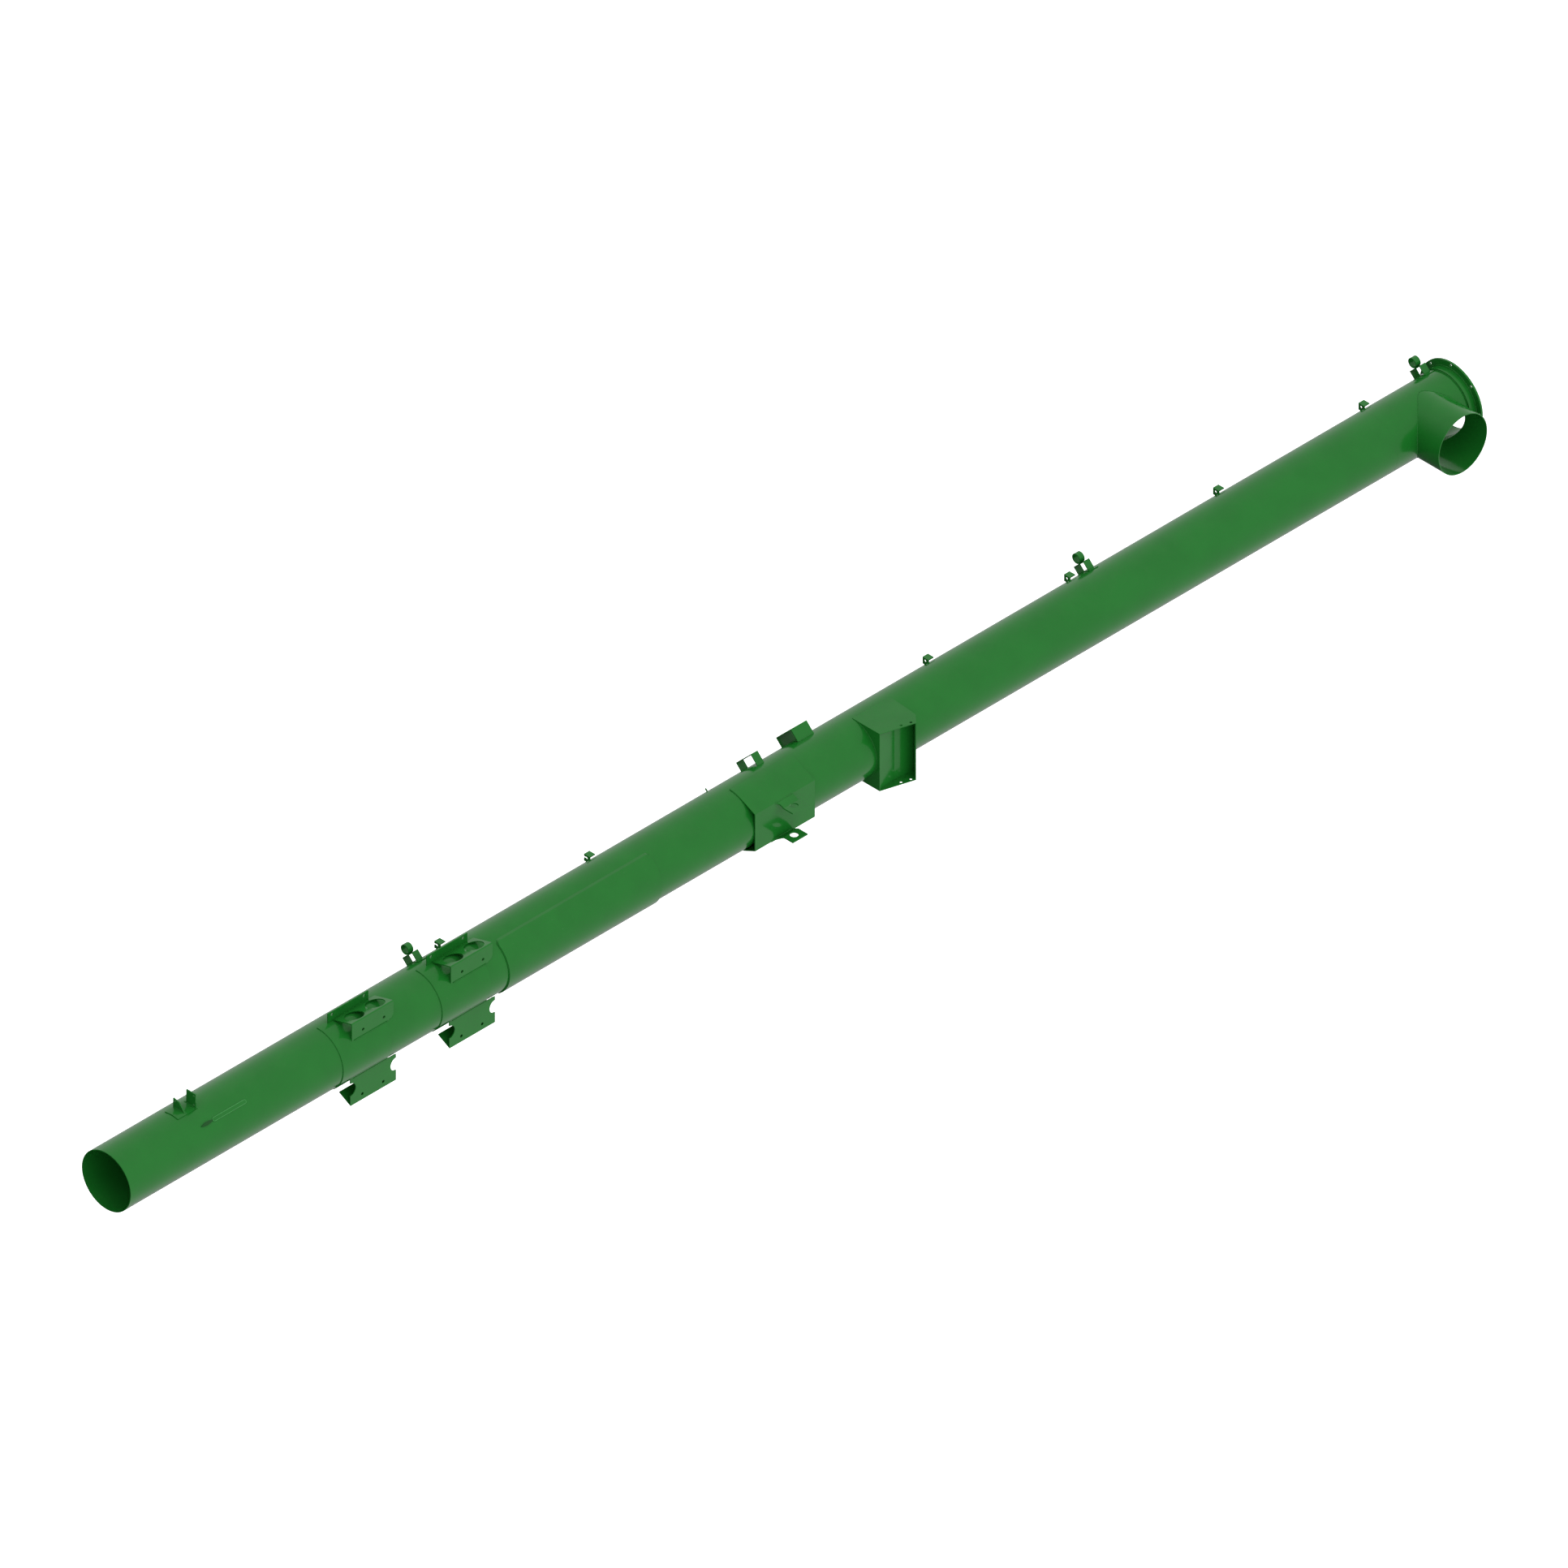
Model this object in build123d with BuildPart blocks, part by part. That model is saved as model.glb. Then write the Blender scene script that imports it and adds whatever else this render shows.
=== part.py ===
from build123d import *
import math
import os

os.makedirs("parts", exist_ok=True)

# Auger tube of a grain cart: one long painted steel tube with its welded brackets.
# Frame: X runs along the tube from the open inlet end, -Y is the side of the
# discharge stub, +Z is up. The origin is the centre of the inlet end face.

# ---- driving dimensions (mm) ----
tube_od = 254.0
tube_wall = 3.4
tube_length = 6960.0          # inlet face to the back of the end flange
tee_length = 400.0            # last length of the tube, which carries the stub
box_start = 3862.0            # left side of the side box, where two tube lengths are butt-welded
clip_plate = 4.0              # plate of clips, guides and strap loops

stub_step = 2.0               # by which the stub is smaller across than the tube
stub_centre_from_end = 172.0
stub_reach = 236.0            # tube axis to the mouth of the stub

flange_margin = 33.0          # tube to the edge of the flange
flange_plate = 8.0
flange_hole_stand = 21.0      # tube to the circle of the flange holes
flange_hole_d = 13.5
flange_hole_count = 8
collar_wall = 7.0
collar_length = 31.0

doubler_start = 1958.0
doubler_length = 788.0
doubler_plate = 5.4
doubler_half_height = 117.0
doubler_corner_r = 12.0

saddle_first = 1099.0
saddle_pitch = 512.7
saddle_count = 2
saddle_length = 215.0
saddle_band_plate = 3.0
saddle_band_length = 250.0
saddle_plate = 4.0
saddle_reach = 95.0           # tube axis to the front flanges
saddle_hole_spacing = 108.0
saddle_hole_d = 13.0

saddle_band_top = 86.0        # edges of the band round the tube, degrees from +Y
saddle_band_bottom = 272.0
upright_offset = 48.0         # from the band's left edge
upright_length = 210.0
upright_height = 41.0         # over the top of the band
upright_hole_inset = (22.0, 12.0)
tray_offset = 74.0
tray_front_height = 27.0      # over the top of the band
tray_corner_r = 22.0          # lower right corner of the front fold
tray_hole_drop = 47.0         # front fold of the tray to its holes
hole_inset = 58.0             # left end of the tray to its first hole
cutout_r = 38.0
cutout_reach = 52.0           # tube axis to the centres of the tray's cut-outs
hanger_offset = 70.0
hanger_length = 236.0
hanger_drop = 77.0            # bottom of the band to the bottom fold
hanger_lip_run = 60.0         # bottom fold to the end of the lip
hanger_lip_rise = 33.0
hanger_hole_rise = 25.0       # bottom fold to the holes
bite_r = 28.0
bite_rise = 72.0              # bottom fold to the centres of the end bites

wrap_start = 3227.0
wrap_length = 309.0
wrap_plate = 4.0
wrap_stand = 6.0              # tube to the vertical front
wrap_lean = 25.0              # where the flats leave the tube, from the vertical

lug_start = 3345.0
lug_width = 77.0
lug_length = 77.0             # wrap to the tips
lug_plate = 5.0
lug_hole_d = 33.0
lug_root_r = 40.0
lug_pin_setback = 32.0        # tip of a lug to its hole
joggle_run = 30.0
joggle_drop = 15.0            # step of each lug toward the axis

box_rim = 2.0                 # tube to the top and bottom faces
box_plate = 3.0
box_left_stand = 15.0         # tube to the front edge of the left side
box_nose_stand = 59.0         # tube to the nose
box_nose_run = 145.0          # left side to the nose, along the tube
box_right_stand = 20.0        # tube to the right corner
box_right_run = 181.0         # left side to the right corner, along the tube
box_foot_run = 193.0          # left side to where the right side meets the tube
box_hole_d = 11.0
box_hole_shares = (0.65, 0.92)   # of the run from the left side to the nose
box_hole_inset = 12.0         # from the sloping front edge
box_wall_setback = 8.0        # front edge of the left side to the inner wall
box_wall_clearance = 1.0      # inner wall to the tube

guide_places = (1686.0, 5162.0)
guide_end_setback = 58.0      # centre of the last guide to the end of the tube
guide_length = 30.0           # along the tube
guide_width = 71.0            # over the two legs, round the tube
guide_height = 34.0
ring_od = 42.0
ring_id = 34.0
ring_length = 24.0
pad_plate = 3.0
pad_length = 44.0
pad_half_angle = 23.0

hook_clip_places = (1808.0, 2583.0)
hole_clip_places = (4336.0, 5069.0, 5840.0)
tee_clip_offset = 33.0        # start of the tee to the last clip
clip_length = 28.0
clip_size = 30.0
clip_stand = 20.2             # upper line of the tube to the corner, along Y and Z
clip_hole_d = 11.0
clip_hole_shift = 2.0         # from the middle of the plate toward the outer corner

peg_place = 3200.0
peg_d = 6.0
peg_height = 12.0

small_loop = (3414.0, 34.0, 110.0, 36.5)    # start, length, width over the legs, height
large_loop = (3625.0, 81.0, 110.0, 42.0)

ear_pad_start = 336.0
ear_pad_length = 103.0
ear_pad_back = 75.0           # edges of the pad round the tube, degrees from +Y
ear_pad_front = 105.5
ear_plate = 5.0
ear_hole_d = 8.0
slant_ear_place = 379.0
tall_ear_place = 431.0
# outlines and holes of the ears, as Y and height over the crown of the pad
ear_foot = -20.0
slant_ear_outline = [(31, 38), (2, 32), (-28, -3)]
slant_ear_hole = (22, 27)
tall_ear_back = 15.0
tall_ear_front = -33.0
tall_ear_top = 58.0
tall_ear_holes = [(-24, 8), (-24, 48)]

keeper_angle = 136.0          # round the tube, degrees from +Y
keeper_start = 459.0
keeper_length = 171.0
keeper_width = 14.0
keeper_thickness = 2.0
keeper_tail_length = 60.0
keeper_tail_width = 13.0
keeper_tail_thickness = 5.0

# ---- values that follow ----
tube_r = tube_od / 2
bore_r = tube_r - tube_wall
stub_r = tube_r - stub_step / 2
stub_bore_r = stub_r - tube_wall
tee_start = tube_length - tee_length
stub_x = tube_length - stub_centre_from_end
band_r = tube_r + saddle_band_plate
tray_front_z = band_r + tray_front_height
hanger_bottom = -band_r - hanger_drop
wrap_front = tube_r + wrap_stand
lug_reach = wrap_front + lug_length
box_half_height = tube_r + box_rim
box_left_reach = tube_r + box_left_stand
box_nose_reach = tube_r + box_nose_stand
box_right_reach = tube_r + box_right_stand
guide_top = tube_r + guide_height
guide_centres = (*guide_places, tube_length - guide_end_setback)
all_hole_clips = (*hole_clip_places, tee_start + tee_clip_offset)
clip_corner = tube_r * math.cos(math.radians(45)) + clip_stand
crown = tube_r + pad_plate


def save(piece, label):
    piece.part.label = label
    export_step(piece.part, "parts/" + label + ".step")


def radial_plane(x, angle, radius):
    """Plane on the tube at an angle from +Y, with its X along the tube and its Z outward."""
    out = (0, math.cos(math.radians(angle)), math.sin(math.radians(angle)))
    origin = (x, radius * out[1], radius * out[2])
    return Plane(origin=origin, x_dir=(1, 0, 0), z_dir=out)


def curved_pad(x_start, length, angle_from, angle_to, thickness, inner_r=tube_r):
    """Plate rolled to the tube, between two angles from +Y."""
    with BuildPart() as pad:
        with BuildSketch(Plane.YZ.offset(x_start)):
            with BuildLine():
                inner = CenterArc((0, 0), inner_r, angle_from, angle_to - angle_from)
                outer = CenterArc((0, 0), inner_r + thickness, angle_from, angle_to - angle_from)
                Line(inner @ 0, outer @ 0)
                Line(inner @ 1, outer @ 1)
            make_face()
        extrude(amount=length)
    return pad


# ---- the tube itself: two long lengths and a short one with the side port ----
with BuildPart() as inlet_tube:
    with BuildSketch(Plane.YZ):
        Circle(tube_r)
        Circle(bore_r, mode=Mode.SUBTRACT)
    extrude(amount=box_start)
save(inlet_tube, "inlet_tube")

with BuildPart() as middle_tube:
    with BuildSketch(Plane.YZ.offset(box_start)):
        Circle(tube_r)
        Circle(bore_r, mode=Mode.SUBTRACT)
    extrude(amount=tee_start - box_start)
save(middle_tube, "middle_tube")

with BuildPart() as tee_tube:
    with BuildSketch(Plane.YZ.offset(tee_start)):
        Circle(tube_r)
        Circle(bore_r, mode=Mode.SUBTRACT)
    extrude(amount=tee_length)
    with BuildSketch(Plane.XZ):
        with Locations((stub_x, 0)):
            Circle(stub_bore_r)
    extrude(amount=stub_reach, mode=Mode.SUBTRACT)
save(tee_tube, "tee_tube")

with BuildPart() as discharge_stub:
    with BuildSketch(Plane.XZ):
        with Locations((stub_x, 0)):
            Circle(stub_r)
            Circle(stub_bore_r, mode=Mode.SUBTRACT)
    extrude(amount=stub_reach)
    with BuildSketch(Plane.YZ.offset(tee_start)):
        Circle(tube_r)
    extrude(amount=tee_length, mode=Mode.SUBTRACT)
save(discharge_stub, "discharge_stub")

with BuildPart() as end_collar:
    with BuildSketch(Plane.YZ.offset(tube_length - collar_length)):
        Circle(tube_r + collar_wall)
        Circle(tube_r, mode=Mode.SUBTRACT)
    extrude(amount=collar_length)
save(end_collar, "end_collar")

with BuildPart() as end_flange:
    with BuildSketch(Plane.YZ.offset(tube_length)):
        Circle(tube_r + flange_margin)
        Circle(bore_r, mode=Mode.SUBTRACT)
        with PolarLocations(tube_r + flange_hole_stand, flange_hole_count):
            Circle(flange_hole_d / 2, mode=Mode.SUBTRACT)
    extrude(amount=flange_plate)
save(end_flange, "end_flange")

# ---- long doubler, a half shell round the stub side ----
with BuildPart() as doubler_shell:
    with BuildSketch(Plane.XZ):
        with Locations((doubler_start + doubler_length / 2, 0)):
            RectangleRounded(doubler_length, 2 * doubler_half_height, doubler_corner_r)
    extrude(amount=tube_od)
    with BuildSketch(Plane.YZ.offset(doubler_start)):
        Circle(tube_r + doubler_plate)
        Circle(tube_r, mode=Mode.SUBTRACT)
    extrude(amount=doubler_length, mode=Mode.INTERSECT)
save(doubler_shell, "doubler_shell")

# ---- two saddles, each a rolled band, an upright, a folded tray and a hanging bracket ----

for i in range(saddle_count):
    start = saddle_first + i * saddle_pitch
    band = curved_pad(start, saddle_band_length, saddle_band_top, saddle_band_bottom,
                      saddle_band_plate)
    save(band, "saddle_band_" + str(i + 1))

    holes_x = [start + tray_offset + hole_inset + n * saddle_hole_spacing for n in (0, 1)]

    # upright plate on the top of the tube, a plate's thickness behind the axis
    left = start + upright_offset
    right = left + upright_length
    with BuildPart() as upright:
        with BuildSketch(Plane.XZ):
            with Locations(((left + right) / 2, band_r + (upright_height - saddle_plate) / 2)):
                Rectangle(upright_length, upright_height + saddle_plate)
            hole_z = band_r + upright_height - upright_hole_inset[1]
            with Locations((left + upright_hole_inset[0], hole_z),
                           (right - upright_hole_inset[0], hole_z)):
                Circle(saddle_hole_d / 2, mode=Mode.SUBTRACT)
        extrude(amount=-saddle_plate)
        with BuildSketch(Plane.YZ.offset(left)):
            Circle(band_r)
        extrude(amount=upright_length, mode=Mode.SUBTRACT)
    save(upright, "saddle_upright_" + str(i + 1))

    # folded tray from the foot of the upright to a front flange that stands on the band
    tray_start = start + tray_offset
    tray_rise = math.atan2(tray_front_height, saddle_reach)
    with BuildPart() as tray:
        with BuildSketch(Plane.YZ.offset(tray_start)):
            with BuildLine():
                Polyline((-saddle_plate * math.sin(tray_rise), band_r),
                         (-saddle_reach, tray_front_z), (-saddle_reach, 0))
                offset(amount=saddle_plate, side=Side.RIGHT)
            make_face()
            Circle(band_r, mode=Mode.SUBTRACT)
        extrude(amount=saddle_length)
        # the front fold's lower right corner is rounded off
        corner_x = tray_start + saddle_length - tray_corner_r
        fold_foot = math.sqrt(max(band_r ** 2 - saddle_reach ** 2, 0))
        with BuildSketch(Plane.XZ.offset(saddle_reach - saddle_plate)):
            with Locations((corner_x + tray_corner_r, fold_foot)):
                Rectangle(2 * tray_corner_r, 2 * tray_corner_r)
            with Locations((corner_x, fold_foot + tray_corner_r)):
                Circle(tray_corner_r, mode=Mode.SUBTRACT)
        extrude(amount=3 * saddle_plate, mode=Mode.SUBTRACT)
        with BuildSketch(Plane.XY.offset(band_r)):
            with Locations(*[(x, -cutout_reach) for x in holes_x]):
                Circle(cutout_r)
        extrude(amount=tray_front_height + 2 * saddle_plate, mode=Mode.SUBTRACT)
        with BuildSketch(Plane.XZ.offset(saddle_reach - saddle_plate)):
            with Locations(*[(x, tray_front_z - tray_hole_drop) for x in holes_x]):
                Circle(saddle_hole_d / 2)
        extrude(amount=3 * saddle_plate, mode=Mode.SUBTRACT)
    save(tray, "saddle_tray_" + str(i + 1))

    # hanging bracket: an upright face with a bite in each end and a lip folded back under it
    hanger_start = start + hanger_offset
    with BuildPart() as hanger:
        with BuildSketch(Plane.YZ.offset(hanger_start)):
            with BuildLine():
                Polyline((-saddle_reach, 0), (-saddle_reach, hanger_bottom),
                         (-saddle_reach + hanger_lip_run, hanger_bottom + hanger_lip_rise))
                offset(amount=saddle_plate, side=Side.LEFT)
            make_face()
            Circle(band_r, mode=Mode.SUBTRACT)
        extrude(amount=hanger_length)
        with BuildSketch(Plane.XZ.offset(saddle_reach - 2 * saddle_plate)):
            bite_z = hanger_bottom + bite_rise
            with Locations((hanger_start, bite_z), (hanger_start + hanger_length, bite_z)):
                Circle(bite_r)
            with Locations(*[(x, hanger_bottom + hanger_hole_rise) for x in holes_x]):
                Circle(saddle_hole_d / 2)
        extrude(amount=4 * saddle_plate, mode=Mode.SUBTRACT)
    save(hanger, "saddle_hanger_" + str(i + 1))

# ---- centre mount: a D-shaped wrap with two lugs for one pin ----
lean = math.radians(wrap_lean)
wrap_r = tube_r + wrap_plate
leave = (-wrap_r * math.sin(lean), wrap_r * math.cos(lean))
corner_z = leave[1] - (wrap_front + leave[0]) * math.tan(lean)

with BuildPart() as mount_wrap:
    with BuildSketch(Plane.YZ.offset(wrap_start)):
        with BuildLine():
            top = CenterArc((0, 0), wrap_r, 90, wrap_lean)
            bottom = CenterArc((0, 0), wrap_r, 270 - wrap_lean, wrap_lean)
            Polyline(top @ 1, (-wrap_front, corner_z), (-wrap_front, -corner_z), bottom @ 0)
            Line(bottom @ 1, top @ 0)
        make_face()
        with BuildLine():
            top_in = CenterArc((0, 0), tube_r, 90, wrap_lean)
            bottom_in = CenterArc((0, 0), tube_r, 270 - wrap_lean, wrap_lean)
            inner_z = corner_z - wrap_plate * math.tan(math.radians(45) - lean / 2)
            Polyline(top_in @ 1, (wrap_plate - wrap_front, inner_z),
                     (wrap_plate - wrap_front, -inner_z), bottom_in @ 0)
            Line(bottom_in @ 1, top_in @ 0)
        make_face(mode=Mode.SUBTRACT)
    extrude(amount=wrap_length)
save(mount_wrap, "mount_wrap")


def lug(level, toward_axis, root_r):
    """Lug on the wrap's front at one level, joggled toward the axis, flared at its left root."""
    step = math.copysign(joggle_drop, -level)
    with BuildPart() as piece:
        with BuildSketch(Plane.YZ.offset(lug_start - root_r)):
            with BuildLine():
                Polyline((-wrap_front, level), (-wrap_front - joggle_run, level + step),
                         (-lug_reach, level + step))
                offset(amount=lug_plate, side=toward_axis)
            make_face()
        extrude(amount=root_r + lug_width)
        with BuildSketch(Plane.XY):
            with BuildLine():
                flare = CenterArc((lug_start - root_r, -wrap_front - root_r), root_r, 0, 90)
                Polyline(flare @ 0, (lug_start, -lug_reach), (lug_start + lug_width, -lug_reach),
                         (lug_start + lug_width, -wrap_front), flare @ 1)
            make_face()
            with Locations((lug_start + lug_width / 2, -lug_reach + lug_pin_setback)):
                Circle(lug_hole_d / 2, mode=Mode.SUBTRACT)
        extrude(amount=wrap_r, both=True, mode=Mode.INTERSECT)
    return piece


lug_upper = lug(corner_z, Side.LEFT, lug_root_r / 2)
save(lug_upper, "lug_upper")
lug_lower = lug(-corner_z, Side.RIGHT, lug_root_r)
save(lug_lower, "lug_lower")

# ---- side box: an open-fronted housing on the stub side ----
left_front = (box_start, -box_left_reach)
nose = (box_start + box_nose_run, -box_nose_reach)
right_corner = (box_start + box_right_run, -box_right_reach)
foot = (box_start + box_foot_run, 0.0)

for label, level in (("box_top", box_half_height - box_plate), ("box_bottom", -box_half_height)):
    with BuildPart() as plate:
        with BuildSketch(Plane.XY.offset(level)):
            with BuildLine():
                Polyline((box_start, 0), left_front, nose, right_corner, foot, close=True)
            make_face()
            for share in box_hole_shares:
                along = (box_start + share * box_nose_run,
                         -box_left_reach - share * (box_nose_reach - box_left_reach) + box_hole_inset)
                with Locations(along):
                    Circle(box_hole_d / 2, mode=Mode.SUBTRACT)
        extrude(amount=box_plate)
        with BuildSketch(Plane.YZ.offset(box_start)):
            Circle(tube_r)
        extrude(amount=box_foot_run, mode=Mode.SUBTRACT)
    save(plate, label)

side_height = 2 * (box_half_height - box_plate)


def upright_wall(points, inner_side):
    """Upright plate of the box, between its top and bottom plates."""
    with BuildPart() as wall:
        with BuildSketch(Plane.XY.offset(-side_height / 2)):
            with BuildLine():
                Polyline(*points)
                offset(amount=box_plate, side=inner_side)
            make_face()
        extrude(amount=side_height)
        with BuildSketch(Plane.YZ.offset(box_start - box_plate)):
            Circle(tube_r)
        extrude(amount=box_foot_run + 2 * box_plate, mode=Mode.SUBTRACT)
    return wall


box_left = upright_wall([(box_start, 0), left_front], Side.LEFT)
save(box_left, "box_left")
box_right = upright_wall([nose, right_corner, foot], Side.LEFT)
save(box_right, "box_right")

with BuildPart() as box_inner:
    with BuildSketch(Plane.XY.offset(-side_height / 2)):
        with BuildLine():
            Polyline((box_start + box_plate, -box_left_reach + box_wall_setback),
                     (box_start + 0.6 * box_nose_run, -tube_r - box_wall_clearance),
                     (box_start + box_right_run - 2 * box_plate, -box_right_reach + box_wall_setback))
            offset(amount=box_plate, side=Side.RIGHT)
        make_face()
    extrude(amount=side_height)
save(box_inner, "box_inner")

# ---- ring guides on the back upper line of the tube ----
def strap_loop(x_start, length, width, height, seat_r):
    """Inverted U of flat strap that bridges the tube's upper line, its feet on the seat."""
    seat = radial_plane(x_start, 45, 0)
    top_r = tube_r + height
    with BuildPart() as strap:
        with BuildSketch(Plane(origin=seat.origin, x_dir=-seat.y_dir, z_dir=-seat.x_dir)):
            with Locations((0, top_r / 2)):
                Rectangle(width, top_r)
            with Locations((0, (top_r - clip_plate) / 2)):
                Rectangle(width - 2 * clip_plate, top_r - clip_plate, mode=Mode.SUBTRACT)
        extrude(amount=-length)
        with BuildSketch(Plane.YZ.offset(x_start)):
            Circle(seat_r)
        extrude(amount=length, mode=Mode.SUBTRACT)
    return strap


for i, centre in enumerate(guide_centres):
    pad = curved_pad(centre - pad_length / 2, pad_length, 45 - pad_half_angle,
                     45 + pad_half_angle, pad_plate)
    save(pad, "guide_pad_" + str(i + 1))
    strap = strap_loop(centre - guide_length / 2, guide_length, guide_width, guide_height,
                       tube_r + pad_plate)
    save(strap, "guide_strap_" + str(i + 1))
    seat = radial_plane(centre, 45, guide_top + ring_od / 2)
    with BuildPart() as ring:
        with BuildSketch(Plane(origin=seat.origin, x_dir=seat.y_dir, z_dir=(1, 0, 0))):
            Circle(ring_od / 2)
            Circle(ring_id / 2, mode=Mode.SUBTRACT)
        extrude(amount=ring_length / 2, both=True)
    save(ring, "guide_ring_" + str(i + 1))

for label, loop in (("small_loop", small_loop), ("large_loop", large_loop)):
    start, length, width, height = loop
    strap = strap_loop(start, length, width, height, tube_r)
    save(strap, label)

# ---- clips for a hose or cable ----


def clip(x_start, hooked):
    """Angle clip on the tube; a hooked one is open from its hole to the outer corner."""
    low = clip_corner - clip_size
    hole_centre = clip_corner - clip_size / 2 + clip_hole_shift
    with BuildPart() as piece:
        with BuildSketch(Plane.YZ.offset(x_start)):
            with Locations((clip_corner - clip_size / 2, clip_corner - clip_size / 2)):
                Rectangle(clip_size, clip_size)
        extrude(amount=clip_plate)
        with BuildSketch(Plane.XY.offset(clip_corner)):
            with Locations((x_start + clip_length / 2, clip_corner - clip_size / 2)):
                Rectangle(clip_length, clip_size)
        extrude(amount=-clip_plate)
        with BuildSketch(Plane.YZ.offset(x_start)):
            with Locations((hole_centre, hole_centre)):
                Circle(clip_hole_d / 2)
            if hooked:
                with Locations((hole_centre + clip_size / 2, hole_centre)):
                    Rectangle(clip_size, 0.7 * clip_hole_d)
        extrude(amount=clip_plate, mode=Mode.SUBTRACT)
        with BuildSketch(Plane.YZ.offset(x_start)):
            Circle(tube_r)
        extrude(amount=clip_length, mode=Mode.SUBTRACT)
    return piece


for kind, places in (("hook_clip_", hook_clip_places), ("hole_clip_", all_hole_clips)):
    for i, place in enumerate(places):
        piece = clip(place, kind == "hook_clip_")
        save(piece, kind + str(i + 1))

with BuildPart() as locating_peg:
    with BuildSketch(radial_plane(peg_place, 45, tube_r / 2)):
        Circle(peg_d / 2)
    extrude(amount=tube_r / 2 + peg_height)
    with BuildSketch(Plane.YZ.offset(peg_place - peg_d)):
        Circle(tube_r)
    extrude(amount=2 * peg_d, mode=Mode.SUBTRACT)
save(locating_peg, "locating_peg")

# ---- two ears on a rolled pad near the inlet ----
ear_pad = curved_pad(ear_pad_start, ear_pad_length, ear_pad_back, ear_pad_front, pad_plate)
save(ear_pad, "ear_pad")


def ear(x_centre, points, holes):
    """Upright ear across the tube, with its foot on the pad; heights are over the pad's crown."""
    with BuildPart() as piece:
        with BuildSketch(Plane.YZ.offset(x_centre - ear_plate / 2)):
            with BuildLine():
                Polyline(*[(y, crown + height) for y, height in points], close=True)
            make_face()
            Circle(crown, mode=Mode.SUBTRACT)
            with Locations(*[(y, crown + height) for y, height in holes]):
                Circle(ear_hole_d / 2, mode=Mode.SUBTRACT)
        extrude(amount=ear_plate)
    return piece


slant_ear = ear(slant_ear_place,
                [(slant_ear_outline[0][0], ear_foot), *slant_ear_outline,
                 (slant_ear_outline[-1][0], ear_foot)], [slant_ear_hole])
save(slant_ear, "slant_ear")
tall_ear = ear(tall_ear_place,
               [(tall_ear_back, ear_foot), (tall_ear_back, tall_ear_top),
                (tall_ear_front, tall_ear_top), (tall_ear_front, ear_foot)], tall_ear_holes)
save(tall_ear, "tall_ear")

# ---- flat keeper tongue along the tube, and the wedge it is folded from ----
keeper_plane = radial_plane(keeper_start + keeper_length / 2, keeper_angle, tube_r)
with BuildPart() as keeper_tongue:
    with BuildSketch(keeper_plane):
        SlotOverall(keeper_length, keeper_width)
    extrude(amount=keeper_thickness)
save(keeper_tongue, "keeper_tongue")

with BuildPart() as keeper_tail:
    with BuildSketch(radial_plane(keeper_start - keeper_tail_length / 2, keeper_angle, tube_r)):
        with BuildLine():
            half = keeper_tail_length / 2
            ThreePointArc((-half, 0), (0, keeper_tail_width / 2), (half, 0))
            ThreePointArc((-half, 0), (0, -keeper_tail_width / 2), (half, 0))
        make_face()
    extrude(amount=keeper_tail_thickness)
save(keeper_tail, "keeper_tail")
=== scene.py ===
import math

import bmesh
import bpy
from mathutils import Matrix, Vector


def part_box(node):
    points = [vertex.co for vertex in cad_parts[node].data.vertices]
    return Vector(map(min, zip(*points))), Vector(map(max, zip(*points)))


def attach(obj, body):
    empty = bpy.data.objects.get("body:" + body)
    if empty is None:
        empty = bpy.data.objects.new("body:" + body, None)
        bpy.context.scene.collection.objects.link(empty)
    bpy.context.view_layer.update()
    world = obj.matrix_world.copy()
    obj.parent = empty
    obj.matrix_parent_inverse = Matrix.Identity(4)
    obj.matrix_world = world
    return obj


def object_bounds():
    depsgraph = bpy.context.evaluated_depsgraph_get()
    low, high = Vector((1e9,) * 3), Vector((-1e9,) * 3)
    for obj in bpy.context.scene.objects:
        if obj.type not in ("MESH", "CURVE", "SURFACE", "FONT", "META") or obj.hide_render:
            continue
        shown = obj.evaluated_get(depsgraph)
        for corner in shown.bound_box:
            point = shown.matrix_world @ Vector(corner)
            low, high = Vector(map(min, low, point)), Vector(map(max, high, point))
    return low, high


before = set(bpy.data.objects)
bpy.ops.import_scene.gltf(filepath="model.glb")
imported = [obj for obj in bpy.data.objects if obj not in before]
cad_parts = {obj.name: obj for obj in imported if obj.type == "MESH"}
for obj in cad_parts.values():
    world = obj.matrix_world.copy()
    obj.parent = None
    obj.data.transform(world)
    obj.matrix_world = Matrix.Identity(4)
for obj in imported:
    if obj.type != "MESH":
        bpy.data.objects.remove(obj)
cad_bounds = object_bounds()

BODY = "root"
MM = 0.001

# Sizes of the tube, read from the frame, in metres.
TUBE_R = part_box("inlet_tube")[1][2]
TUBE_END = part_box("end_flange")[0][0]

# Paint, as linear colours.
GREEN = (0.010, 0.160, 0.018)
GREEN_LIGHT = (0.011, 0.160, 0.019)
# painted highlight: a pale green for the keeper's weld, standing in for a light rim round the keeper
GREEN_PAINTED_HIGHLIGHT = (0.040, 0.260, 0.055)
# painted shade: a darker green for the keeper's tail, standing in for the shade that falls on it
GREEN_PAINTED_SHADE = (0.004, 0.070, 0.008)
STEEL = (0.30, 0.30, 0.29)
DUST = (0.22, 0.21, 0.16)
BLACK = (0, 0, 0)
WHITE = (1, 1, 1)

# ---- nodes of a material ----


def add(tree, kind, **values):
    """A node with its inputs set by name."""
    node = tree.nodes.new(kind)
    for name, value in values.items():
        node.inputs[name.replace("_", " ")].default_value = value
    return node


def noise(tree, scale, detail, roughness=0.55):
    coords = tree.nodes.new("ShaderNodeTexCoord")
    node = add(tree, "ShaderNodeTexNoise", Scale=scale, Detail=detail, Roughness=roughness)
    tree.links.new(coords.outputs["Object"], node.inputs["Vector"])
    return node.outputs["Fac"]


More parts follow.
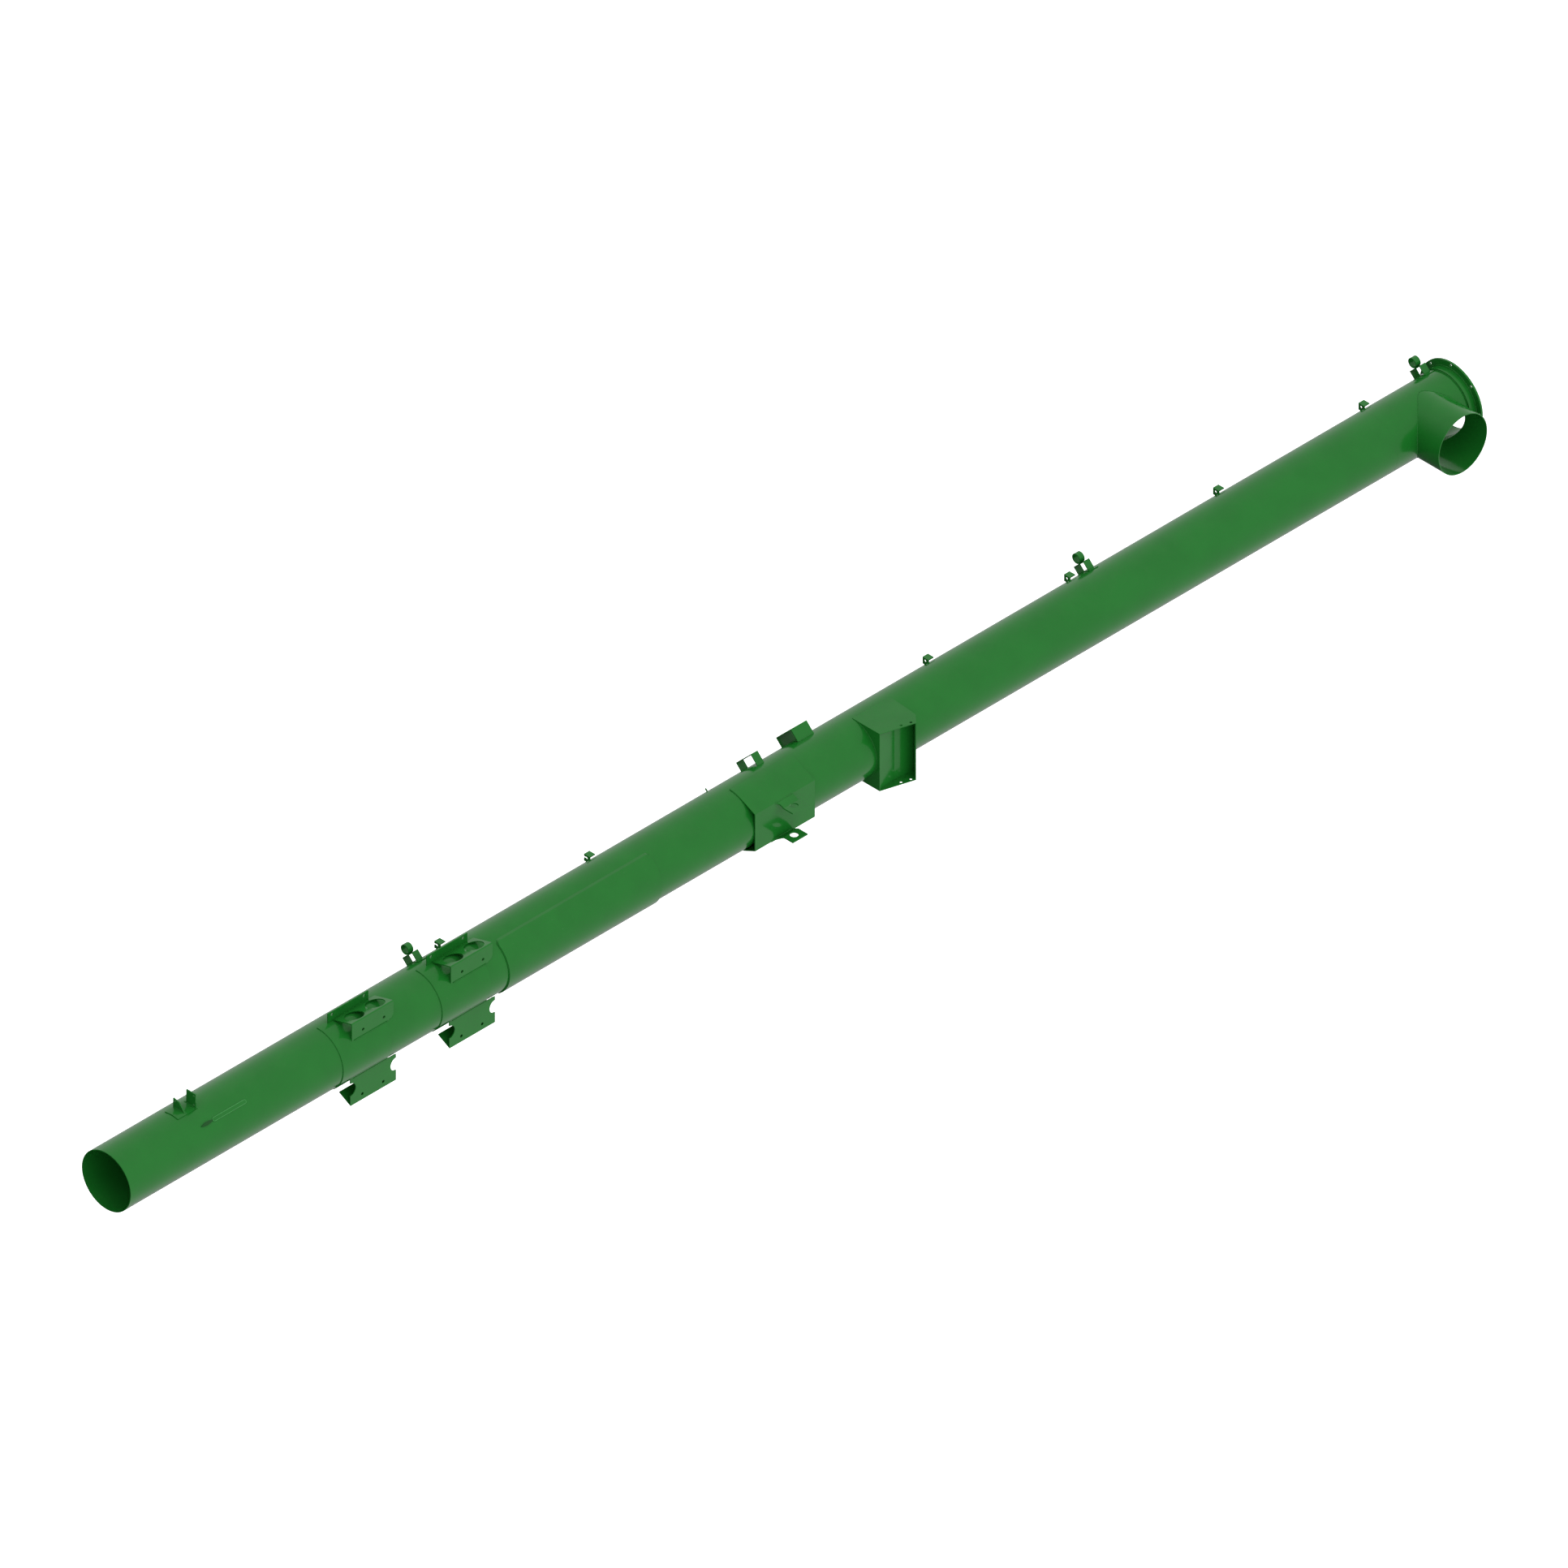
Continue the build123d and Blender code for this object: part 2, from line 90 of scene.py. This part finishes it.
def ramp(tree, source, stops):
    """A ramp on a socket, from two (place, colour) pairs."""
    node = tree.nodes.new("ShaderNodeValToRGB")
    for element, (place, colour) in zip(node.color_ramp.elements, stops):
        element.position = place
        element.color = (*colour, 1)
    tree.links.new(source, node.inputs["Fac"])
    return node.outputs["Color"]


def mix(tree, factor, first, colour):
    """From a socket to a plain colour, by a socket."""
    node = tree.nodes.new("ShaderNodeMix")
    node.data_type = "RGBA"
    tree.links.new(factor, node.inputs["Factor"])
    tree.links.new(first, node.inputs["A"])
    node.inputs["B"].default_value = (*colour, 1)
    return node.outputs["Result"]


def multiply(tree, first, second):
    node = tree.nodes.new("ShaderNodeMath")
    node.operation = "MULTIPLY"
    tree.links.new(first, node.inputs[0])
    tree.links.new(second, node.inputs[1])
    return node.outputs["Value"]


# ---- camera, floor and light ----

FRAME_WIDTH = 5.741           # metres across the picture
VIEW_AZIMUTH = 45.0
VIEW_ELEVATION = 35.61
INLET_LEFT = 2.4812           # centre of the inlet, left of the middle of the picture, in metres
INLET_DOWN = 1.4537           # and below it
CAMERA_BACK = 4 * FRAME_WIDTH     # far enough to clear the object
CAMERA_REACH = 200

DARK_SIDE = (-0.575, 0.575, -0.582)    # the direction in which the surround is darkest
DARK_STARTS = 0.05            # cosine of the angle to that direction, where the fall starts
DARK_FULL = 0.65              # and where it is complete
DARK_GREY = (0.10, 0.12, 0.11)
WORLD_STRENGTH = 0.95

FLOOR_HALF = 60.0
FLOOR_BELOW = 0.9             # under the lowest point of the object
FLOOR_GREY = 0.93
FLOOR_WHITE = 0.97
FLOOR_GRAIN = 0.4             # scale of its noise
FLOOR_ROUGHNESS = 0.9
FLOOR_GLOW = 0.6

LIGHT_STRENGTH = 0.5
LIGHT_SPREAD = 60             # degrees
LIGHT_FROM = (1, -5, 5)


def make_camera():
    """A parallel view from the inlet end, on the side of the stub and from above."""
    azimuth = math.radians(VIEW_AZIMUTH)
    elevation = math.radians(VIEW_ELEVATION)
    back = Vector((-math.sin(azimuth) * math.cos(elevation),
                   -math.cos(azimuth) * math.cos(elevation), math.sin(elevation)))
    right = Vector((math.cos(azimuth), -math.sin(azimuth), 0))
    up = back.cross(right)
    target = right * INLET_LEFT + up * INLET_DOWN
    # slide the aim along the view so that it lies level with the middle of the tube
    middle = Vector((TUBE_END / 2, 0, 0))
    target = target + back * (middle - target).dot(back)
    data = bpy.data.cameras.new("camera")
    data.type = "ORTHO"
    data.ortho_scale = FRAME_WIDTH
    data.clip_end = CAMERA_REACH
    camera = bpy.data.objects.new("camera", data)
    turn = Matrix((right, up, back)).transposed().to_4x4()
    camera.matrix_world = Matrix.Translation(target + back * CAMERA_BACK) @ turn
    bpy.context.scene.collection.objects.link(camera)
    bpy.context.scene.camera = camera


def make_light():
    """One soft sun from the side of the stub. It isn't mirrored in the paint."""
    data = bpy.data.lights.new("key", "SUN")
    data.energy = LIGHT_STRENGTH
    data.angle = math.radians(LIGHT_SPREAD)
    lamp = bpy.data.objects.new("key", data)
    lamp.visible_glossy = False
    direction = -Vector(LIGHT_FROM)
    lamp.rotation_euler = direction.to_track_quat("-Z", "Y").to_euler()
    bpy.context.scene.collection.objects.link(lamp)


def make_world():
    """A white studio that falls off to dark grey low on the left behind the object."""
    world = bpy.data.worlds.new("studio")
    bpy.context.scene.world = world
    world.use_nodes = True
    tree = world.node_tree
    background = tree.nodes["Background"]
    coords = tree.nodes.new("ShaderNodeTexCoord")
    facing = tree.nodes.new("ShaderNodeVectorMath")
    facing.operation = "DOT_PRODUCT"
    facing.inputs[1].default_value = DARK_SIDE
    tree.links.new(coords.outputs["Generated"], facing.inputs[0])
    fall = ramp(tree, facing.outputs["Value"], [(DARK_STARTS, WHITE), (DARK_FULL, DARK_GREY)])
    tree.links.new(fall, background.inputs["Color"])
    background.inputs["Strength"].default_value = WORLD_STRENGTH


def make_floor():
    """A white floor that glows a little, so that it shows no edge against the surround."""
    mesh = bpy.data.meshes.new("floor")
    level = cad_bounds[0][2] - FLOOR_BELOW
    corners = [(-1, -1), (1, -1), (1, 1), (-1, 1)]
    mesh.from_pydata([(x * FLOOR_HALF, y * FLOOR_HALF, level) for x, y in corners], [],
                     [(0, 1, 2, 3)])
    floor = bpy.data.objects.new("floor", mesh)
    bpy.context.scene.collection.objects.link(floor)
    material = bpy.data.materials.new("floor_white")
    material.use_nodes = True
    tree = material.node_tree
    shader = tree.nodes["Principled BSDF"]
    shader.inputs["Roughness"].default_value = FLOOR_ROUGHNESS
    grain = add(tree, "ShaderNodeTexNoise", Scale=FLOOR_GRAIN)
    shade = ramp(tree, grain.outputs["Fac"], [(0, (FLOOR_GREY,) * 3), (1, (FLOOR_WHITE,) * 3)])
    tree.links.new(shade, shader.inputs["Base Color"])
    shader.inputs["Emission Color"].default_value = (*WHITE, 1)
    shader.inputs["Emission Strength"].default_value = FLOOR_GLOW
    mesh.materials.append(material)
    floor.visible_glossy = False
    floor.visible_diffuse = False


def make_stage():
    make_world()
    make_floor()
    make_light()
    scene = bpy.context.scene
    scene.view_settings.view_transform = "Standard"
    scene.view_settings.look = "None"


# ---- paint ----

# Noise in the paint: scale, detail and, where it isn't the usual one, roughness.
MOTTLE_DETAIL = 3.0
DUST_NOISE = (22.0, 6.0, 0.65)
CHIP_NOISE = (95.0, 5.0, 0.7)
GLOSS_NOISE = (14.0, 4.0)
PEEL_NOISE = (420.0, 2.0)

# Where each effect starts and where it is complete, on its noise or its edge value.
MOTTLE_FROM, MOTTLE_TO = 0.35, 0.65
DUST_FROM, DUST_TO = 0.38, 0.80
EDGE_FROM, EDGE_TO = 0.56, 0.64
CHIP_FROM, CHIP_TO = 0.66, 0.78
GLOSS_FROM, GLOSS_TO = 0.3, 0.7

MOTTLE_DARK, MOTTLE_LIGHT = 0.96, 1.04  # times the base colour
DUST_MOST = 0.025             # how much of the colour dust takes over
SMOOTHER, ROUGHER = 0.03, 0.05  # how far roughness varies, down and up
PEEL_STRENGTH = 0.05
PEEL_DEPTH = 0.6 * MM
SPECULAR = 0.24

BEVEL_TURN = 40               # degrees; edges that turn less keep their shape
SMALL_EDGE = 0.6 * MM
PLATE_EDGE = 0.8 * MM


def paint(name, base, worn, coarse, gloss):
    """Sprayed enamel on steel: faint mottling, orange peel, dust, and wear on the edges."""
    material = bpy.data.materials.new(name)
    material.use_nodes = True
    tree = material.node_tree
    shader = tree.nodes["Principled BSDF"]

    darker = tuple(MOTTLE_DARK * c for c in base)
    lighter = tuple(MOTTLE_LIGHT * c for c in base)
    tone = ramp(tree, noise(tree, coarse, MOTTLE_DETAIL), [(MOTTLE_FROM, darker), (MOTTLE_TO, lighter)])

    # dust settles on what faces up
    geometry = tree.nodes.new("ShaderNodeNewGeometry")
    split = tree.nodes.new("ShaderNodeSeparateXYZ")
    tree.links.new(geometry.outputs["Normal"], split.inputs["Vector"])
    gathered = multiply(tree, split.outputs["Z"], noise(tree, *DUST_NOISE))
    dusty = ramp(tree, gathered, [(DUST_FROM, BLACK), (DUST_TO, (DUST_MOST,) * 3)])
    tinted = mix(tree, dusty, tone, DUST)

    # small scuffs and chips show steel where edges are rubbed
    edges = ramp(tree, geometry.outputs["Pointiness"], [(EDGE_FROM, BLACK), (EDGE_TO, WHITE)])
    chips = ramp(tree, noise(tree, *CHIP_NOISE), [(CHIP_FROM, BLACK), (CHIP_TO, (worn,) * 3)])
    rubbed = multiply(tree, edges, chips)
    tree.links.new(mix(tree, rubbed, tinted, STEEL), shader.inputs["Base Color"])

    rough = ramp(tree, noise(tree, *GLOSS_NOISE), [(GLOSS_FROM, (gloss - SMOOTHER,) * 3),
                                                   (GLOSS_TO, (gloss + ROUGHER,) * 3)])
    tree.links.new(rough, shader.inputs["Roughness"])
    bump = add(tree, "ShaderNodeBump", Strength=PEEL_STRENGTH, Distance=PEEL_DEPTH)
    tree.links.new(noise(tree, *PEEL_NOISE), bump.inputs["Height"])
    tree.links.new(bump.outputs["Normal"], shader.inputs["Normal"])
    shader.inputs["Specular IOR Level"].default_value = SPECULAR
    return material


def finish_node(node, material, bevel):
    """Gives a carried-over node its paint and, unless bevel is 0, a small rounded edge."""
    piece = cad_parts[node]
    piece.data.materials.clear()
    piece.data.materials.append(material)
    if bevel:
        modifier = piece.modifiers.new("edge", "BEVEL")
        modifier.width = bevel
        modifier.segments = 2
        modifier.limit_method = "ANGLE"
        modifier.angle_limit = math.radians(BEVEL_TURN)
        modifier.harden_normals = True


make_camera()
make_stage()

tube_paint = paint("tube_paint", GREEN, worn=0.0, coarse=7.0, gloss=0.16)
plate_paint = paint("plate_paint", GREEN, worn=0.2, coarse=9.0, gloss=0.15)
small_paint = paint("small_paint", GREEN_LIGHT, worn=0.3, coarse=16.0, gloss=0.17)
# painted shade: the keeper tail's darker green stands in for shade, not for a different paint
painted_shade_paint = paint("painted_shade_paint", GREEN_PAINTED_SHADE, worn=0.2, coarse=16.0, gloss=0.22)

TUBES = ("inlet_tube", "middle_tube", "tee_tube", "discharge_stub")
SMALL_PIECES = ("guide", "hook", "hole", "ear", "slant", "tall", "keeper", "locating")

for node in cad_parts:
    # the keeper's tail gets the darker green: painted shade
    if node == "keeper_tail":
        finish_node(node, painted_shade_paint, SMALL_EDGE)
    elif node in TUBES:
        finish_node(node, tube_paint, 0)
    elif node.startswith(SMALL_PIECES):
        finish_node(node, small_paint, SMALL_EDGE)
    else:
        finish_node(node, plate_paint, PLATE_EDGE)


# ---- weld beads, the only pieces added to the CAD ----

BEAD_STEP = 4.5 * MM          # along the bead, a third of a ripple
BEAD_FEWEST = 3               # steps in the shortest bead
BEAD_SIDES = 8
BEAD_SPOKES = [(math.cos(k * 2 * math.pi / BEAD_SIDES), math.sin(k * 2 * math.pi / BEAD_SIDES))
               for k in range(BEAD_SIDES)]
RIPPLE, RIPPLE_TURN = 0.16, 2.1   # part of the radius, and radians per step
SWELL, SWELL_TURN = 0.07, 0.37    # the same for a slower change
BEAD_END = 0.35               # how thin an open bead ends, as a part of its radius
ALONG_TUBE = 0.9              # a bead runs along the tube if its direction has this much X
STUB_STEPS = 180
KEEPER_STEPS = 12             # round each end of the keeper

# Radius of each bead.
BEAD_R = {"stub": 1.8 * MM, "collar": 2.0 * MM, "flange": 2.4 * MM, "doubler": 1.8 * MM,
          "band": 1.3 * MM, "upright": 2.0 * MM, "tray": 1.8 * MM, "hanger": 1.8 * MM,
          "wrap": 1.7 * MM, "wrap_side": 1.6 * MM, "lug": 1.8 * MM, "box": 2.0 * MM,
          "box_left": 1.8 * MM, "loop": 1.8 * MM, "guide": 1.5 * MM, "ear": 1.5 * MM,
          "keeper": 1.6 * MM, "clip": 1.5 * MM}

# How far the middle of each bead stands off the tube.
STAND = {"collar": 1.0 * MM, "doubler": 1.2 * MM, "band": 0.6 * MM, "wrap": 1.0 * MM,
         "box_left": 0.8 * MM, "loop": 0.5 * MM, "guide": 3.4 * MM, "ear": 3.4 * MM,
         "keeper": 1.2 * MM, "clip": 0.4 * MM}

# How far a straight bead stops short of its plate, at the inlet side and at the other.
SHORT = {"upright": (8 * MM, 8 * MM), "tray": (10 * MM, 30 * MM), "hanger": (10 * MM, 10 * MM),
         "wrap": (4 * MM, 4 * MM), "lug": (4 * MM, 3 * MM), "box": (4 * MM, 4 * MM),
         "foot": (2 * MM, 2 * MM)}

# Where arcs start and end round the tube, in degrees from +Y over the top.
BAND_ARC = (92, 268)
WRAP_ARC = (91, 114)
BOX_ARC = (100, 260)
EAR_ARC = (78, 103)
CLIP_ARC = (38, 52)
BRACKET_TURN = 45             # the row of loops and guides, half way from the side to the top
DOUBLER_BACK = 6              # degrees that the doubler's beads stop short of its edges

PLATE = 3 * MM                # thickness of the saddle bands and of the guides' pads
LAP = 1 * MM                  # from the corner that a bead fills to its middle
WRAP_FACE = 0.6 * MM          # from the wrap's back edge to the middle of its bead
BOX_FACE = 0.4 * MM           # and from the box's
LUG_STEP = 5.2 * MM           # between the two beads of a lug
LOOP_FOOT = 0.055             # half of the distance between the feet of a loop
GUIDE_FOOT = 0.0355           # and of a guide strap
KEEPER_R = 7 * MM             # the keeper's rounded ends


def box_x(node):
    """Where a node starts and ends along the tube."""
    low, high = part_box(node)
    return low[0], high[0]


def ends(node):
    left, right = box_x(node)
    return ("left", left), ("right", right)


def on_tube(x, angle, radius):
    """A point at x, an angle in degrees from +Y and a radius."""
    turn = math.radians(angle)
    return Vector((x, radius * math.cos(turn), radius * math.sin(turn)))


def arc(x, radius, first, last):
    """Points round the tube at x, between two angles."""
    count = max(BEAD_FEWEST, int(abs(math.radians(last - first)) * radius / BEAD_STEP))
    return [on_tube(x, first + (last - first) * i / count, radius) for i in range(count + 1)]


def line(start, end):
    start, end = Vector(start), Vector(end)
    count = max(BEAD_FEWEST, int((end - start).length / BEAD_STEP))
    return [start.lerp(end, i / count) for i in range(count + 1)]


def bead(name, points, radius, closed=False, material=None):
    """A rippled fillet of weld metal along a line of points. A closed one ends where it starts."""
    mesh = bpy.data.meshes.new(name)
    build = bmesh.new()
    rings = []
    last = len(points) - 1
    for i, point in enumerate(points[:-1] if closed else points):
        ahead = points[(i + 1) % last if closed else min(i + 1, last)]
        behind = points[(i - 1) % last if closed else max(i - 1, 0)]
        along = (ahead - behind).normalized()
        if abs(along.x) > ALONG_TUBE:
            side = along.orthogonal()
        else:
            side = along.cross(Vector((1, 0, 0)))
        side.normalize()
        other = along.cross(side)
        size = radius * (1 + RIPPLE * math.sin(i * RIPPLE_TURN) + SWELL * math.sin(i * SWELL_TURN))
        if not closed and i in (0, last):
            size *= BEAD_END
        rings.append([build.verts.new(point + size * (across * side + out * other))
                      for across, out in BEAD_SPOKES])
    pairs = list(zip(rings, rings[1:]))
    if closed:
        pairs.append((rings[-1], rings[0]))
    for near, far in pairs:
        for k in range(BEAD_SIDES):
            m = (k + 1) % BEAD_SIDES
            build.faces.new((near[k], near[m], far[m], far[k]))
    if not closed:
        build.faces.new(list(reversed(rings[0])))
        build.faces.new(rings[-1])
    bmesh.ops.recalc_face_normals(build, faces=build.faces)
    for face in build.faces:
        face.smooth = True
    build.to_mesh(mesh)
    build.free()
    piece = bpy.data.objects.new(name, mesh)
    bpy.context.scene.collection.objects.link(piece)
    mesh.materials.append(material or weld_paint)
    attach(piece, BODY)


def seam(name, kind, node, y, z):
    """A straight bead along a plate, a little shorter than the plate is."""
    left, right = box_x(node)
    before, after = SHORT[kind]
    bead(name, line((left + before, y, z), (right - after, y, z)), BEAD_R[kind])


def feet(label, kind, node, spread):
    """Two beads along the feet of a strap, at an angle each side of the bracket row."""
    left, right = box_x(node)
    before, after = SHORT["foot"]
    radius = TUBE_R + STAND[kind]
    for where, turn in (("back", BRACKET_TURN - spread), ("front", BRACKET_TURN + spread)):
        bead("bead_%s_%s" % (label, where),
             line(on_tube(left + before, turn, radius), on_tube(right - after, turn, radius)),
             BEAD_R[kind])


def weld_tube():
    """Round the stub, the collar and the flange, and down both ends of the doubler."""
    low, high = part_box("discharge_stub")
    stub_x, stub_r = (low[0] + high[0]) / 2, (high[0] - low[0]) / 2
    saddle = []
    for i in range(STUB_STEPS + 1):
        turn = 2 * math.pi * i / STUB_STEPS
        across = stub_r * math.sin(turn)
        saddle.append(Vector((stub_x + stub_r * math.cos(turn),
                              -math.sqrt(TUBE_R ** 2 - across ** 2), across)))
    bead("bead_stub", saddle, BEAD_R["stub"], True)
    low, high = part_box("end_collar")
    bead("bead_collar", arc(low[0], TUBE_R + STAND["collar"], 0, 360), BEAD_R["collar"], True)
    bead("bead_flange", arc(high[0] - LAP, high[2] + LAP, 0, 360), BEAD_R["flange"], True)

    reach = math.degrees(math.asin(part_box("doubler_shell")[1][2] / TUBE_R)) - DOUBLER_BACK
    for label, x in ends("doubler_shell"):
        bead("bead_doubler_" + label, arc(x, TUBE_R + STAND["doubler"], 180 - reach, 180 + reach),
             BEAD_R["doubler"])


def weld_saddle(i):
    for label, x in ends("saddle_band_%d" % i):
        bead("bead_band_%d_%s" % (i, label), arc(x, TUBE_R + STAND["band"], *BAND_ARC),
             BEAD_R["band"])
    band_r = TUBE_R + PLATE
    upright = "saddle_upright_%d" % i
    seam("bead_upright_%d" % i, "upright", upright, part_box(upright)[1][1], band_r)
    # the tray and the hanger meet the band under the tray's fold
    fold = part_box("saddle_tray_%d" % i)[0][1]
    foot = math.sqrt(band_r ** 2 - fold ** 2)
    seam("bead_tray_%d" % i, "tray", "saddle_tray_%d" % i, fold - LAP, foot)
    seam("bead_hanger_%d" % i, "hanger", "saddle_hanger_%d" % i, fold - LAP, -foot)


def weld_wrap():
    """Along and beside the wrap's back edges, and two beads on each of its lugs."""
    radius = TUBE_R + STAND["wrap"]
    first, last = WRAP_ARC
    for label, level in (("top", 1), ("bottom", -1)):
        seam("bead_wrap_" + label, "wrap", "mount_wrap", WRAP_FACE, level * radius)
        for side, x in ends("mount_wrap"):
            bead("bead_wrap_%s_%s" % (label, side), arc(x, radius, level * first, level * last),
                 BEAD_R["wrap_side"])
    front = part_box("mount_wrap")[0][1]
    for node, inner in (("lug_upper", 1), ("lug_lower", -1)):
        low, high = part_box(node)
        root = high[2] if inner == 1 else low[2]
        for label, step in ((0, 0.0), (5, -inner * LUG_STEP)):
            seam("bead_%s_%d" % (node, label), "lug", node, front, root + step)


def weld_box():
    seam("bead_box_top", "box", "box_top", BOX_FACE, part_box("box_top")[0][2])
    seam("bead_box_bottom", "box", "box_top", BOX_FACE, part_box("box_bottom")[1][2])
    bead("bead_box_left", arc(box_x("box_top")[0], TUBE_R + STAND["box_left"], *BOX_ARC),
         BEAD_R["box_left"])


def weld_keeper():
    """A thin fillet round the keeper's tongue, in a pale green that is a painted highlight round its
    outline.
    """
    low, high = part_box("keeper_tongue")
    turn = math.degrees(math.atan2((low[2] + high[2]) / 2, (low[1] + high[1]) / 2))
    outline = []
    for x, side in ((low[0] + KEEPER_R, 1), (high[0] - KEEPER_R, -1)):
        for step in range(KEEPER_STEPS + 1):
            swing = math.pi * step / KEEPER_STEPS
            across = math.degrees(KEEPER_R / TUBE_R * math.cos(swing))
            outline.append(on_tube(x - side * KEEPER_R * math.sin(swing), turn - side * across,
                                   TUBE_R + STAND["keeper"]))
    outline.append(outline[0])
    bead("bead_keeper", outline, BEAD_R["keeper"], True, painted_highlight_paint)


def weld_brackets():
    for node in ("small_loop", "large_loop"):
        feet(node, "loop", node, math.degrees(math.asin(LOOP_FOOT / TUBE_R)))
    for i in (1, 2, 3):
        feet("guide_%d" % i, "guide", "guide_strap_%d" % i,
             math.degrees(math.asin(GUIDE_FOOT / (TUBE_R + PLATE))))
    for node in ("slant_ear", "tall_ear"):
        for label, x in ends(node):
            bead("bead_%s_%s" % (node, label), arc(x, TUBE_R + STAND["ear"], *EAR_ARC),
                 BEAD_R["ear"])
    weld_keeper()
    for node in ("hook_clip_1", "hook_clip_2", "hole_clip_1", "hole_clip_2", "hole_clip_3",
                 "hole_clip_4"):
        bead("bead_" + node, arc(box_x(node)[0], TUBE_R + STAND["clip"], *CLIP_ARC),
             BEAD_R["clip"])


weld_paint = paint("weld_paint", GREEN_LIGHT, worn=0.3, coarse=30.0, gloss=0.24)
# painted highlight: the pale green of the keeper's weld stands in for a light rim, not for a different
# paint
painted_highlight_paint = paint("painted_highlight_paint", GREEN_PAINTED_HIGHLIGHT, worn=0.2, coarse=30.0, gloss=0.24)
weld_tube()
weld_saddle(1)
weld_saddle(2)
weld_wrap()
weld_box()
weld_brackets()
